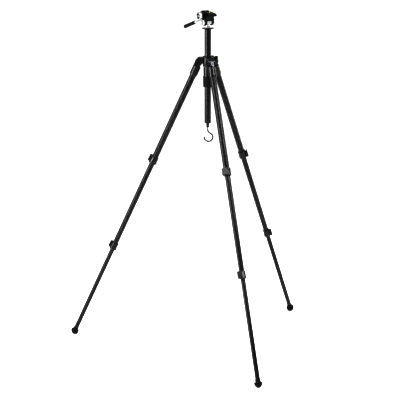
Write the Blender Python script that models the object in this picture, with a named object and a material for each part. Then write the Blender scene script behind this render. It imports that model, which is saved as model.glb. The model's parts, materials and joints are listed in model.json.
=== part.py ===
"""Three-section camera tripod with flip-lever leg clamps, a sliding centre column and a two-way head.

Metres, +Z up. The feet stand on z = 0, and the origin is the middle of the footprint's box. The front
leg points along -Y. Each leg has its own frame at its hinge, with local Z up along the leg and local X
outwards. The head has its own frame at the middle of its tilt axis, with local X along that axis and
local Y towards the pan handle.
"""

import math

import bmesh
import bpy
from mathutils import Matrix, Vector

GAP = 0.0003

# stance
LEG_TILT = math.radians(24.93)
LEG_AZIMUTHS = {"front": math.radians(-90.0), "right": math.radians(30.0), "left": math.radians(150.0)}
HINGE_RADIUS = 0.0389
HINGE_HEIGHT = 1.306

# leg tubes, largest first; each slides inside the one above it
TUBE_RADII = (0.0140, 0.0122, 0.0104)
TUBE_WALL = 0.0015
TUBE_OVERLAP = 0.060
SOCKET_DEPTH = 0.034
CLAMP_ENDS = (0.5166, 0.9722)
CLAMP_HEIGHT = 0.034
CLAMP_STEP = 0.017
CLAMP_SHELL = 0.0037

# flip levers
LEVER_AZIMUTH = math.radians(-45.0)
LEVER_PIN_OFFSET = 0.0065
LEVER_PIN_HEIGHT = 0.0045
LEVER_HALF_WIDTH = 0.0125
LEVER_SLOT_HALF = 0.0084
LEVER_LENGTH = 0.029
LEVER_FACE = 0.0055
LEVER_CHEEK = 0.0033
LUG_HALF_WIDTH = 0.0080
LUG_NOSE = 0.0028
LEVER_PIN_RADIUS = 0.0014

# feet
FOOT_RADIUS = 0.0185
FOOT_CENTRE_HEIGHT = 0.018

# hub
ARM_HALF_WIDTH = 0.015
TONGUE_HALF_WIDTH = 0.0082
FORK_HALF_GAP = 0.0085
CHEEK_RADIUS = 0.017
FORK_BORE_RADIUS = 0.014
STOP_HEIGHT = -0.0017
STOP_STEM_DROP = 0.0110
HUB_TOP = 1.3285
HUB_BOTTOM = 1.2413
BRAKE_AZIMUTH = math.radians(-30.0)
BRAKE_HEIGHT = 1.3225
ARM_TOP = 0.0215

# column
COLUMN_RADIUS = 0.0148
COLUMN_WALL = 0.0020
COLUMN_BOTTOM = 1.0363
COLUMN_TOP = 1.4487
TOP_PLATE_FACE = 1.4565
BUSH_RADIUS = 0.0171
COLLAR_LOW = 1.194

# hook
HOOK_AZIMUTH = math.radians(-19.7)
HOOK_WIRE = 0.0024
HOOK_LOOP = 0.0194
HOOK_CENTRE = (0.0036, 0.966)

# head
TILT_HEIGHT = 1.481
TILT_AZIMUTH = math.radians(14.3)
TILT_LEAN = math.radians(10.0)
TILT_SHAFT_RADIUS = 0.004
CLAMP_KNOB_Y = 0.0129
CLAMP_KNOB_Z = 0.0272
CAMERA_SCREW_Y = -0.006
HANDLE_START = (0.0, 0.018, 0.0173)
HANDLE_DROP = math.radians(27.5)
HANDLE_LENGTH = 0.181


# ---------------------------------------------------------------- helpers

def clear_scene():
    for obj in list(bpy.data.objects):
        bpy.data.objects.remove(obj)


def make_material(name, colour, roughness, metallic=0.0):
    material = bpy.data.materials.new(name)
    material.use_nodes = True
    shader = material.node_tree.nodes["Principled BSDF"]
    shader.inputs["Base Color"].default_value = (*colour, 1.0)
    shader.inputs["Roughness"].default_value = roughness
    shader.inputs["Metallic"].default_value = metallic
    return material


def add_frame(name, matrix, parent=None):
    """An empty that pieces are modelled in."""
    empty = bpy.data.objects.new(name, None)
    bpy.context.scene.collection.objects.link(empty)
    empty.parent = parent
    empty.matrix_basis = matrix
    return empty


def add_piece(name, bm, material, frame):
    """Turns a closed bmesh into an object in the given frame."""
    bmesh.ops.recalc_face_normals(bm, faces=bm.faces)
    mesh = bpy.data.meshes.new(name)
    bm.to_mesh(mesh)
    bm.free()
    mesh.shade_smooth()
    mesh.set_sharp_from_angle(angle=math.radians(35.0))
    mesh.materials.append(material)
    obj = bpy.data.objects.new(name, mesh)
    bpy.context.scene.collection.objects.link(obj)
    obj.parent = frame
    return obj


def turned(name, outline, material, frame, segments=20, ring=False, axis="Z"):
    """Revolves (radius, height) points. A ring's outline closes on itself; a solid's ends on the axis."""
    bm = bmesh.new()
    loops = []
    for radius, height in outline:
        if radius == 0.0:
            loops.append([bm.verts.new((0.0, 0.0, height))])
            continue
        loop = []
        for i in range(segments):
            angle = 2.0 * math.pi * i / segments
            loop.append(bm.verts.new((radius * math.cos(angle), radius * math.sin(angle), height)))
        loops.append(loop)
    pairs = list(zip(loops, loops[1:]))
    if ring:
        pairs.append((loops[-1], loops[0]))
    for first, second in pairs:
        for i in range(segments):
            j = (i + 1) % segments
            corners = []
            for vert in (first[i % len(first)], first[j % len(first)],
                         second[j % len(second)], second[i % len(second)]):
                if vert not in corners:
                    corners.append(vert)
            if len(corners) > 2:
                bm.faces.new(corners)
    turns = {"Z": Matrix(), "X": Matrix.Rotation(math.pi / 2.0, 4, "Y"),
             "Y": Matrix.Rotation(-math.pi / 2.0, 4, "X")}
    bmesh.ops.transform(bm, matrix=turns[axis], verts=bm.verts)
    return add_piece(name, bm, material, frame)


def extruded(name, outline, low, high, material, frame, axis="Y"):
    """Extrudes an outline: (y, z) points along X, (x, z) points along Y, or (x, y) points along Z."""
    places = {"X": lambda a, b, level: (level, a, b),
              "Y": lambda a, b, level: (a, level, b),
              "Z": lambda a, b, level: (a, b, level)}
    bm = bmesh.new()
    rows = [[bm.verts.new(places[axis](a, b, level)) for a, b in outline] for level in (low, high)]
    bm.faces.new(rows[0])
    bm.faces.new(reversed(rows[1]))
    for i in range(len(outline)):
        j = (i + 1) % len(outline)
        bm.faces.new((rows[0][i], rows[1][i], rows[1][j], rows[0][j]))
    return add_piece(name, bm, material, frame)


def box(name, low, high, material, frame):
    outline = [(low[0], low[2]), (high[0], low[2]), (high[0], high[2]), (low[0], high[2])]
    return extruded(name, outline, low[1], high[1], material, frame)


def arc(centre, radius, start, end, steps):
    """Points on an arc, angles in degrees."""
    points = []
    for i in range(steps + 1):
        angle = math.radians(start + (end - start) * i / steps)
        points.append((centre[0] + radius * math.cos(angle), centre[1] + radius * math.sin(angle)))
    return points


def combine(obj, other, operation):
    """Joins or cuts obj with a helper object, which is then hidden."""
    modifier = obj.modifiers.new(other.name, "BOOLEAN")
    modifier.operation = operation
    modifier.object = other
    modifier.solver = "EXACT"
    other.hide_render = True
    other.display_type = "WIRE"


def cut(obj, *cutters):
    for cutter in cutters:
        combine(obj, cutter, "DIFFERENCE")


def join(obj, *others):
    for other in others:
        combine(obj, other, "UNION")


def rod(name, radius, low, high, material, frame, axis="Z", segments=12):
    outline = [(0.0, low), (radius, low), (radius, high), (0.0, high)]
    return turned(name, outline, material, frame, segments=segments, axis=axis)


def bevelled(obj, width, segments=1):
    modifier = obj.modifiers.new("edges", "BEVEL")
    modifier.width = width
    modifier.segments = segments
    modifier.limit_method = "ANGLE"
    modifier.angle_limit = math.radians(40.0)
    return obj


# ---------------------------------------------------------------- placing

def footprint_offset():
    """How far behind the origin the column stands, so that the footprint's box is centred."""
    foot_distance = (HINGE_HEIGHT - FOOT_CENTRE_HEIGHT) / math.cos(LEG_TILT)
    lip_reach = HINGE_RADIUS + foot_distance * math.sin(LEG_TILT)
    front = lip_reach + FOOT_RADIUS
    back = lip_reach * math.sin(LEG_AZIMUTHS["right"]) + FOOT_RADIUS
    return (front - back) / 2.0


COLUMN_Y = footprint_offset()


def leg_matrix(azimuth):
    """Frame at a leg's hinge: local Z up along the leg, local X outwards, local Y along the hinge."""
    place = Matrix.Translation((0.0, COLUMN_Y, HINGE_HEIGHT))
    outwards = Matrix.Rotation(azimuth, 4, "Z") @ Matrix.Translation((HINGE_RADIUS, 0.0, 0.0))
    return place @ outwards @ Matrix.Rotation(-LEG_TILT, 4, "Y")


# ---------------------------------------------------------------- legs

def add_bracket(leg, frame, material):
    """Casting at a leg's top: a tongue for the hub's fork and a socket that holds the upper tube."""
    bore = TUBE_RADII[0] + GAP
    socket = turned(f"{leg}_leg_bracket", [
        (0.0, -0.0215), (0.0165, -0.0215), (0.0178, -0.0232), (0.0178, -0.0560), (0.0172, -0.0640),
        (0.0160, -0.0680), (bore, -0.0680), (bore, -SOCKET_DEPTH), (0.0, -SOCKET_DEPTH),
    ], material, frame)
    outline = arc((0.0, 0.0), 0.013, 0.0, 180.0, 12) + [(-0.013, -0.0270), (0.013, -0.0270)]
    tongue = extruded(f"{leg}_tongue", outline, -TONGUE_HALF_WIDTH, TONGUE_HALF_WIDTH, material, frame)
    hinge_hole = rod(f"{leg}_hinge_hole", 0.0033, -0.02, 0.02, material, frame, "Y")
    stem_hole = rod(f"{leg}_stem_hole", 0.0028, -0.004, 0.020, material, frame, "X")
    stem_hole.location.z = -STOP_STEM_DROP
    join(socket, tongue)
    cut(socket, hinge_hole, stem_hole)


def add_hinge_bolt(leg, frame, material):
    half = ARM_HALF_WIDTH + GAP
    turned(f"{leg}_hinge_bolt", [
        (0.0, -half - 0.0025), (0.0046, -half - 0.0025), (0.0052, -half - 0.0018), (0.0052, -half),
        (0.0030, -half), (0.0030, half), (0.0052, half), (0.0052, half + 0.0018),
        (0.0046, half + 0.0025), (0.0022, half + 0.0025), (0.0022, half + 0.0008), (0.0, half + 0.0008),
    ], material, frame, segments=12, axis="Y")


def add_angle_stop(leg, frame, material):
    """Spring tab that bears on the hub's stop face; its stem slides in the bracket."""
    top = STOP_HEIGHT - GAP
    plate = extruded(f"{leg}_angle_stop", [
        (0.0133, top), (0.0165, top), (0.0175, top - 0.003), (0.0175, -0.0150),
        (0.0195, -0.0190), (0.0195, -0.0205), (0.0133, -0.0205),
    ], -0.0070, 0.0070, material, frame)
    stem = rod(f"{leg}_stop_stem", 0.0025, -0.0020, 0.0150, material, frame, "X")
    stem.location.z = -STOP_STEM_DROP
    join(plate, stem)


def add_tube(name, index, top, bottom, material, frame):
    outer = TUBE_RADII[index]
    inner = outer - TUBE_WALL
    turned(name, [(outer, -top), (inner, -top), (inner, -bottom), (outer, -bottom)], material, frame,
           ring=True)


def add_clamp(name, index, end, material, frame, lever_frame):
    """Split collar: it grips the tube below through a slit between two lugs, which carry the lever."""
    upper = TUBE_RADII[index] + GAP
    lower = TUBE_RADII[index + 1] + GAP
    shell = TUBE_RADII[index] + CLAMP_SHELL
    top = CLAMP_HEIGHT - end
    collar = turned(name, [
        (upper, top), (shell - 0.0008, top), (shell, top - 0.001), (shell, -end + 0.0095),
        (shell + 0.0011, -end + 0.0085), (shell + 0.0011, -end + 0.0025), (shell - 0.0004, -end),
        (lower, -end), (lower, -end + CLAMP_STEP), (upper, -end + CLAMP_STEP),
    ], material, frame, ring=True)
    root = -0.0055
    rise = CLAMP_HEIGHT - LEVER_PIN_HEIGHT
    outline = [(root, -LUG_NOSE)] + arc((0.0, 0.0), LUG_NOSE, -90.0, 0.0, 4)
    outline += [(LUG_NOSE, rise - 0.0145), (LUG_NOSE - 0.002, rise - 0.0105), (root, rise - 0.0085)]
    lug = extruded(f"{name}_lug", outline, -LUG_HALF_WIDTH, LUG_HALF_WIDTH, material, lever_frame)
    hole = rod(f"{name}_pin_hole", LEVER_PIN_RADIUS + GAP, -0.02, 0.02, material, lever_frame, "Y")
    reach = shell + LEVER_PIN_OFFSET
    slit = box(f"{name}_slit", (lower - reach - 0.001, -0.0008, -0.02), (0.02, 0.0008, 0.016),
               material, lever_frame)
    join(collar, lug)
    cut(collar, hole, slit)


def add_lever(name, material, frame):
    """Channel-shaped cam lever with its pin; closed, it lies along the leg with its tip upwards."""
    outline = [(LEVER_FACE, LEVER_LENGTH - 0.001), (LEVER_FACE - 0.0012, LEVER_LENGTH),
               (0.0016, LEVER_LENGTH - 0.0060), (-0.0032, LEVER_LENGTH - 0.0120)]
    outline += arc((0.0, 0.0), LEVER_CHEEK, 180.0, 290.0, 6)
    outline += [(LEVER_FACE - 0.0014, -0.0027), (LEVER_FACE, -0.0008)]
    lever = extruded(name, outline, -LEVER_HALF_WIDTH, LEVER_HALF_WIDTH, material, frame)
    face = LUG_NOSE + 0.0004
    hollow = box(f"{name}_hollow", (-0.02, -LEVER_SLOT_HALF, -0.02),
                 (face, LEVER_SLOT_HALF, LEVER_LENGTH - 0.0070), material, frame)
    heel = box(f"{name}_heel", (-0.02, -LEVER_SLOT_HALF, -0.02), (0.02, LEVER_SLOT_HALF, -0.0020),
               material, frame)
    pin = rod(f"{name}_pin", LEVER_PIN_RADIUS, -LEVER_HALF_WIDTH + 0.001, LEVER_HALF_WIDTH - 0.001,
              material, frame, "Y")
    cut(lever, hollow, heel)
    join(lever, pin)


def add_foot(leg, frame, azimuth, material):
    """Rubber foot, pressed on the lower tube, with a small flat where it stands."""
    centre = (HINGE_HEIGHT - FOOT_CENTRE_HEIGHT) / math.cos(LEG_TILT)
    bore = TUBE_RADII[2] + GAP
    dome = [(FOOT_RADIUS * math.cos(a), -centre - FOOT_RADIUS * math.sin(a))
            for a in (math.radians(90.0 * i / 5) for i in range(5))]
    outline = [(0.0, -centre + 0.0037), (bore, -centre + 0.0037), (bore, -centre + 0.0180),
               (0.0117, -centre + 0.0180), (0.0121, -centre + 0.0085), (0.0152, -centre + 0.0076),
               (0.0176, -centre + 0.0050)]
    outline += dome + [(0.0, -centre - FOOT_RADIUS)]
    foot = turned(f"{leg}_foot", outline, material, frame)
    reach = HINGE_RADIUS + centre * math.sin(LEG_TILT)
    ground_frame = add_frame(f"{leg}_ground", Matrix.Translation(
        (reach * math.cos(azimuth), COLUMN_Y + reach * math.sin(azimuth), 0.0)))
    ground = box(f"{leg}_ground_cut", (-0.04, -0.04, -0.03), (0.04, 0.04, 0.0), material, ground_frame)
    cut(foot, ground)


def add_leg(leg, azimuth, materials):
    frame = add_frame(f"{leg}_leg_frame", leg_matrix(azimuth))
    add_bracket(leg, frame, materials["casting"])
    add_hinge_bolt(leg, frame, materials["steel"])
    add_angle_stop(leg, frame, materials["silver"])
    foot_centre = (HINGE_HEIGHT - FOOT_CENTRE_HEIGHT) / math.cos(LEG_TILT)
    steps = [end - CLAMP_STEP - GAP for end in CLAMP_ENDS]
    add_tube(f"{leg}_upper_tube", 0, SOCKET_DEPTH + GAP, steps[0], materials["carbon"], frame)
    add_tube(f"{leg}_middle_tube", 1, steps[0] - TUBE_OVERLAP, steps[1], materials["carbon"], frame)
    add_tube(f"{leg}_lower_tube", 2, steps[1] - TUBE_OVERLAP, foot_centre - 0.004, materials["carbon"],
             frame)
    for index, place in enumerate(("upper", "lower")):
        end = CLAMP_ENDS[index]
        reach = TUBE_RADII[index] + LEVER_PIN_OFFSET
        direction = Matrix.Rotation(LEVER_AZIMUTH, 4, "Z")
        offset = Matrix.Translation((reach, 0.0, LEVER_PIN_HEIGHT - end))
        lever_frame = add_frame(f"{leg}_{place}_lever_frame", direction @ offset, frame)
        add_clamp(f"{leg}_{place}_clamp", index, end, materials["casting"], frame, lever_frame)
        add_lever(f"{leg}_{place}_lever", materials["gloss"], lever_frame)
    add_foot(leg, frame, azimuth, materials["rubber"])


# ---------------------------------------------------------------- hub

def arm_outline():
    """Side view of a hub arm, measured from the hinge: outwards and up."""
    points = [(-0.0205, ARM_TOP), (-0.0205, -0.0060)]
    points += arc((0.0, 0.0), CHEEK_RADIUS, -160.0, 58.0, 14)
    points += [(0.0046, ARM_TOP - 0.0012), (0.0030, ARM_TOP)]
    return [(HINGE_RADIUS + x, HINGE_HEIGHT + z) for x, z in points]


def fork_outline():
    """Slot in a hub arm: round over the tongue, with the face that the angle stop bears on."""
    along = math.sqrt(FORK_BORE_RADIUS ** 2 - STOP_HEIGHT ** 2)
    inner = leg_side(along, STOP_HEIGHT)
    outer = leg_side(along + 0.030, STOP_HEIGHT)
    start = math.degrees(math.atan2(inner[1], inner[0]))
    points = [outer] + arc((0.0, 0.0), FORK_BORE_RADIUS, start, 180.0, 8)
    points += [(-FORK_BORE_RADIUS, -0.040), (0.050, -0.040)]
    return [(HINGE_RADIUS + x, HINGE_HEIGHT + z) for x, z in points]


def leg_side(x, z):
    """A point of a leg's own side view, as outwards and up from the hinge."""
    return (x * math.cos(LEG_TILT) - z * math.sin(LEG_TILT),
            x * math.sin(LEG_TILT) + z * math.cos(LEG_TILT))


def add_hub(materials):
    """Spider casting: a core round the column, three forked arms and a boss for the brake screw."""
    casting = materials["casting"]
    frame = add_frame("column_axis", Matrix.Translation((0.0, COLUMN_Y, 0.0)))
    bore = BUSH_RADIUS + GAP
    hub = turned("hub", [
        (bore, HUB_TOP), (0.0212, HUB_TOP), (0.0225, HUB_TOP - 0.002), (0.0225, 1.2875),
        (0.0195, 1.2840), (0.0195, HUB_BOTTOM), (bore, HUB_BOTTOM),
    ], casting, frame, ring=True, segments=24)
    for leg, azimuth in LEG_AZIMUTHS.items():
        turn = add_frame(f"{leg}_arm_frame", Matrix.Rotation(azimuth, 4, "Z"), frame)
        arm = extruded(f"{leg}_arm", arm_outline(), -ARM_HALF_WIDTH, ARM_HALF_WIDTH, casting, turn)
        slot = extruded(f"{leg}_fork", fork_outline(), -FORK_HALF_GAP, FORK_HALF_GAP, casting, turn)
        bolt_hole = rod(f"{leg}_bolt_hole", 0.0033, -0.03, 0.03, casting, turn, "Y")
        bolt_hole.location = (HINGE_RADIUS, 0.0, HINGE_HEIGHT)
        cut(arm, slot, bolt_hole)
        join(hub, arm)
    brake = Matrix.Translation((0.0, 0.0, BRAKE_HEIGHT)) @ Matrix.Rotation(BRAKE_AZIMUTH, 4, "Z")
    brake_frame = add_frame("brake_frame", brake, frame)
    boss = rod("brake_boss", 0.0055, 0.0200, 0.0308, casting, brake_frame, "X", segments=16)
    boss_hole = rod("brake_hole", 0.0033, 0.0120, 0.0400, casting, brake_frame, "X")
    join(hub, boss)
    cut(hub, boss_hole)
    add_guide_bush(materials["plastic"], frame, brake_frame)
    add_lock_collar(materials["rubber"], frame)
    add_brake_knob(materials["gloss"], brake_frame)
    add_spirit_level(materials["level"], frame)
    return frame


def add_guide_bush(material, frame, brake_frame):
    """Plastic bush that the column slides in; its split lower end is the collar's collet."""
    inner = COLUMN_RADIUS + GAP
    bottom = COLLAR_LOW + 0.0025
    bush = turned("guide_bush", [
        (inner, HUB_TOP + 0.0035), (0.0215, HUB_TOP + 0.0035), (0.0220, HUB_TOP + 0.0030),
        (0.0220, HUB_TOP + GAP), (BUSH_RADIUS, HUB_TOP + GAP), (BUSH_RADIUS, bottom), (inner, bottom),
    ], material, frame, ring=True)
    hole = rod("bush_brake_hole", 0.0033, 0.0120, 0.0400, material, brake_frame, "X")
    cut(bush, hole)
    for i in range(3):
        turn = add_frame(f"collet_frame_{i}", Matrix.Rotation(2.0 * math.pi * i / 3.0, 4, "Z"), frame)
        cut(bush, box(f"collet_slit_{i}", (0.010, -0.0008, bottom - 0.005), (0.020, 0.0008, 1.2250),
                      material, turn))


def add_lock_collar(material, frame):
    """Twist collar that squeezes the bush on the column."""
    bore = BUSH_RADIUS + GAP
    top = HUB_BOTTOM - GAP
    turned("column_lock_collar", [
        (bore, top), (0.0212, top), (0.0220, top - 0.001), (0.0220, top - 0.008),
        (0.0214, top - 0.010), (0.0208, COLLAR_LOW + 0.002), (0.0200, COLLAR_LOW),
        (COLUMN_RADIUS + GAP, COLLAR_LOW), (COLUMN_RADIUS + GAP, COLLAR_LOW + 0.0020),
        (bore, COLLAR_LOW + 0.0022),
    ], material, frame, ring=True, segments=24)


def add_brake_knob(material, frame):
    """Thumb knob and screw that press on the column."""
    face = 0.0312
    turned("column_brake_knob", [
        (0.0, COLUMN_RADIUS + 0.0005), (0.0030, COLUMN_RADIUS + 0.0005), (0.0030, face), (0.0085, face),
        (0.0100, face + 0.002), (0.0110, face + 0.004), (0.0110, face + 0.0125),
        (0.0100, face + 0.0140), (0.0, face + 0.0145),
    ], material, frame, segments=16, axis="X")


def add_spirit_level(material, frame):
    """Round bubble level on top of the right arm."""
    azimuth = LEG_AZIMUTHS["right"]
    turn = Matrix.Rotation(azimuth, 4, "Z") @ Matrix.Translation((0.031, 0.0, 0.0))
    base = HINGE_HEIGHT + ARM_TOP + GAP
    turned("spirit_level", [
        (0.0, base), (0.0068, base), (0.0068, base + 0.0030), (0.0060, base + 0.0036),
        (0.0045, base + 0.0044), (0.0, base + 0.0050),
    ], material, add_frame("level_frame", turn, frame), segments=16)


# ---------------------------------------------------------------- column and hook

def add_column(frame, materials):
    inner = COLUMN_RADIUS - COLUMN_WALL
    plug = inner - GAP
    turned("column_tube", [
        (COLUMN_RADIUS, COLUMN_TOP), (inner, COLUMN_TOP), (inner, COLUMN_BOTTOM),
        (COLUMN_RADIUS, COLUMN_BOTTOM),
    ], materials["column"], frame, ring=True, segments=24)
    shoulder = COLUMN_TOP + GAP
    stud_bore = 0.0050
    turned("column_top_plate", [
        (stud_bore, COLUMN_TOP - 0.018), (plug, COLUMN_TOP - 0.018), (plug, shoulder),
        (0.0150, shoulder), (0.0165, shoulder + 0.0014), (0.0268, shoulder + 0.0036),
        (0.0275, shoulder + 0.0044), (0.0275, TOP_PLATE_FACE - 0.0006),
        (0.0269, TOP_PLATE_FACE), (stud_bore, TOP_PLATE_FACE),
    ], materials["casting"], frame, ring=True, segments=24)
    rod("head_stud", 0.0047, COLUMN_TOP - 0.016, TOP_PLATE_FACE + 0.009, materials["steel"], frame)
    low = COLUMN_BOTTOM - GAP
    swivel_bore = HOOK_WIRE + 0.0004
    turned("column_end_cap", [
        (0.0, low - 0.0020), (swivel_bore, low - 0.0020), (swivel_bore, 1.0120), (0.0058, 1.0120),
        (0.0065, 1.0128), (0.0065, low - 0.0060), (0.0135, low - 0.0050), (0.0148, low - 0.0038),
        (0.0148, low), (plug, low), (plug, low + 0.016), (0.0, low + 0.016),
    ], materials["casting"], frame)


def hook_route():
    """The hook's centre line in its own plane: across and up."""
    cx, cz = HOOK_CENTRE
    loop = arc((cx, cz), HOOK_LOOP, 60.0, -188.0, 14)
    stem_end = Vector((0.0, 1.0010))
    join_point = Vector(loop[0])
    heading = Vector((math.sin(math.radians(60.0)), -math.cos(math.radians(60.0))))
    controls = (stem_end, stem_end + Vector((0.0, -0.010)), join_point - heading * 0.008, join_point)
    bend = []
    for i in range(6):
        t = i / 6.0
        weights = ((1 - t) ** 3, 3 * t * (1 - t) ** 2, 3 * t * t * (1 - t), t ** 3)
        point = Vector((0.0, 0.0))
        for weight, control in zip(weights, controls):
            point += control * weight
        bend.append((point.x, point.y))
    return [(0.0, COLUMN_BOTTOM - 0.0050), (0.0, 1.0200)] + bend + loop


def add_hook(material, frame):
    """Bent wire hook that swivels in the end cap."""
    curve = bpy.data.curves.new("weight_hook", "CURVE")
    curve.dimensions = "3D"
    curve.bevel_depth = HOOK_WIRE
    curve.bevel_resolution = 2
    curve.use_fill_caps = True
    spline = curve.splines.new("POLY")
    route = hook_route()
    spline.points.add(len(route) - 1)
    for point, (across, up) in zip(spline.points, route):
        point.co = (across, 0.0, up, 1.0)
    curve.materials.append(material)
    hook = bpy.data.objects.new("weight_hook", curve)
    bpy.context.scene.collection.objects.link(hook)
    hook.parent = add_frame("hook_frame", Matrix.Rotation(HOOK_AZIMUTH, 4, "Z"), frame)


# ---------------------------------------------------------------- head

def add_pan_stage(frame, head, materials):
    """Pan base on the column and the turning body that carries the tilt shaft."""
    silver = materials["silver"]
    low = TOP_PLATE_FACE + GAP
    turned("pan_base", [
        (0.0050, low), (0.0125, low), (0.0130, low + 0.0005), (0.0130, low + 0.0042),
        (0.0125, low + 0.0047), (0.0080, low + 0.0047), (0.0080, low + 0.0105), (0.0050, low + 0.0105),
    ], silver, frame, ring=True)
    neck = low + 0.0050
    body = turned("pan_body", [
        (0.0, neck + 0.0065), (0.0083, neck + 0.0065), (0.0083, neck), (0.0105, neck),
        (0.0110, neck + 0.0005), (0.0110, TILT_HEIGHT - 0.003), (0.0, TILT_HEIGHT - 0.003),
    ], silver, frame)
    barrel = rod("pan_barrel", 0.0118, -0.0115, 0.0135, silver, head, "X", segments=20)
    hole = rod("pan_shaft_hole", TILT_SHAFT_RADIUS + GAP, -0.03, 0.03, silver, head, "X")
    join(body, barrel)
    cut(body, hole)
    rod("tilt_shaft", TILT_SHAFT_RADIUS, -0.0272, 0.0265, materials["steel"], head, "X")


def add_tilt_body(tilting, handle, materials):
    """Inverted U: two ears on the tilt shaft and the block under the camera plate."""
    casting = materials["casting"]
    block_low, block_high = 0.0140, 0.0345
    body = bevelled(box("tilt_body", (-0.0200, -0.0180, block_low), (0.0190, 0.0180, block_high),
                        casting, tilting), 0.0015)
    outline = [(0.0145, 0.0180), (-0.0145, 0.0180)] + arc((0.0, 0.0), 0.0145, 180.0, 360.0, 14)
    for side, low, high in (("left", -0.0240, -0.0120), ("right", 0.0140, 0.0230)):
        join(body, extruded(f"{side}_ear", outline, low, high, casting, tilting, axis="X"))
    shaft_hole = rod("ear_hole", TILT_SHAFT_RADIUS + GAP, -0.03, 0.03, casting, tilting, "X")
    handle_hole = rod("handle_hole", 0.0031, -0.0100, 0.0100, casting, handle)
    screw_hole = rod("clamp_screw_hole", 0.0033, -0.0300, -0.0060, casting, tilting, "X")
    screw_hole.location = (0.0, CLAMP_KNOB_Y, CLAMP_KNOB_Z)
    cut(body, shaft_hole, handle_hole, screw_hole)


def add_tilt_knobs(head, materials):
    """Silver knob on the left end of the tilt shaft and the black cap on its right end."""
    bore = TILT_SHAFT_RADIUS + GAP
    turned("tilt_knob", [
        (0.0, -0.0302), (0.0125, -0.0302), (0.0140, -0.0290), (0.0140, -0.0252), (0.0132, -0.0243),
        (bore, -0.0243), (bore, -0.0276), (0.0, -0.0276),
    ], materials["silver"], head, axis="X")
    turned("tilt_shaft_cap", [
        (0.0, 0.0285), (0.0088, 0.0285), (0.0100, 0.0273), (0.0100, 0.0233), (bore, 0.0233),
        (bore, 0.0269), (0.0, 0.0269),
    ], materials["casting"], head, axis="X", segments=20)


def add_plate_clamp(tilting, materials):
    """Seat with a fixed rail, the moving jaw and the knob that pulls it in."""
    rail_top = 0.0422
    seat_top = 0.0384
    extruded("plate_seat", [
        (-0.0190, 0.0348), (0.0195, 0.0348), (0.0195, rail_top), (0.0142, rail_top),
        (0.0156, seat_top), (-0.0190, seat_top),
    ], -0.0360, 0.0360, materials["casting"], tilting)
    jaw = extruded("clamp_jaw", [
        (-0.0245, 0.0230), (-0.0204, 0.0230), (-0.0204, seat_top + 0.0004),
        (-0.0156, seat_top + 0.0004), (-0.0142, rail_top), (-0.0235, rail_top), (-0.0245, rail_top - 0.001),
    ], CLAMP_KNOB_Y - 0.020, CLAMP_KNOB_Y + 0.020, materials["casting"], tilting)
    boss = rod("jaw_boss", 0.0065, -0.0330, -0.0220, materials["casting"], tilting, "X", segments=20)
    hole = rod("jaw_hole", 0.0033, -0.0400, -0.0100, materials["casting"], tilting, "X")
    knob_frame = add_frame("clamp_knob_frame", Matrix.Translation((0.0, CLAMP_KNOB_Y, CLAMP_KNOB_Z)), tilting)
    boss.parent = knob_frame
    hole.parent = knob_frame
    join(jaw, boss)
    cut(jaw, hole)
    turned("clamp_knob", [
        (0.0, -0.0080), (0.0030, -0.0080), (0.0030, -0.0333), (0.0150, -0.0333), (0.0165, -0.0350),
        (0.0165, -0.0445), (0.0150, -0.0462), (0.0122, -0.0462), (0.0122, -0.0440), (0.0, -0.0440),
    ], materials["silver"], knob_frame, axis="X", segments=20)
    turned("clamp_knob_inset", [
        (0.0, -0.0443), (0.0119, -0.0443), (0.0119, -0.0455), (0.0110, -0.0458), (0.0, -0.0458),
    ], materials["plastic"], knob_frame, axis="X", segments=20)


def slot_outline(radius, low, high):
    """A slot with round ends along Y."""
    return arc((0.0, high), radius, 0.0, 180.0, 6) + arc((0.0, low), radius, 180.0, 360.0, 6)


def add_camera_plate(tilting, materials):
    """Dovetail plate with its pad and the screw for the camera, which slides in a slot."""
    plate = extruded("quick_release_plate", [
        (-0.0151, 0.0387), (0.0151, 0.0387), (0.01365, 0.04255), (0.0180, 0.04255), (0.0180, 0.0438),
        (0.0175, 0.0443), (-0.0175, 0.0443), (-0.0180, 0.0438), (-0.0180, 0.04255), (-0.01365, 0.04255),
    ], -0.0340, 0.0340, materials["casting"], tilting)
    slot = extruded("plate_slot", slot_outline(0.0036, -0.012, 0.012), 0.030, 0.060,
                    materials["casting"], tilting, axis="Z")
    pocket = extruded("plate_pocket", slot_outline(0.0086, -0.012, 0.012), 0.030, 0.0414,
                      materials["casting"], tilting, axis="Z")
    cut(plate, slot, pocket)
    pad = box("plate_pad", (-0.0170, -0.0330, 0.0446), (0.0170, 0.0330, 0.0458), materials["rubber"], tilting)
    pad_slot = extruded("pad_slot", slot_outline(0.0046, -0.012, 0.012), 0.030, 0.060,
                        materials["rubber"], tilting, axis="Z")
    cut(pad, pad_slot)
    screw = turned("camera_screw", [
        (0.0, 0.0390), (0.0080, 0.0390), (0.0080, 0.0410), (0.0031, 0.0410), (0.0031, 0.0495),
        (0.0024, 0.0503), (0.0, 0.0503),
    ], materials["brass"], tilting, segments=16)
    screw.location.y = CAMERA_SCREW_Y


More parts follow.
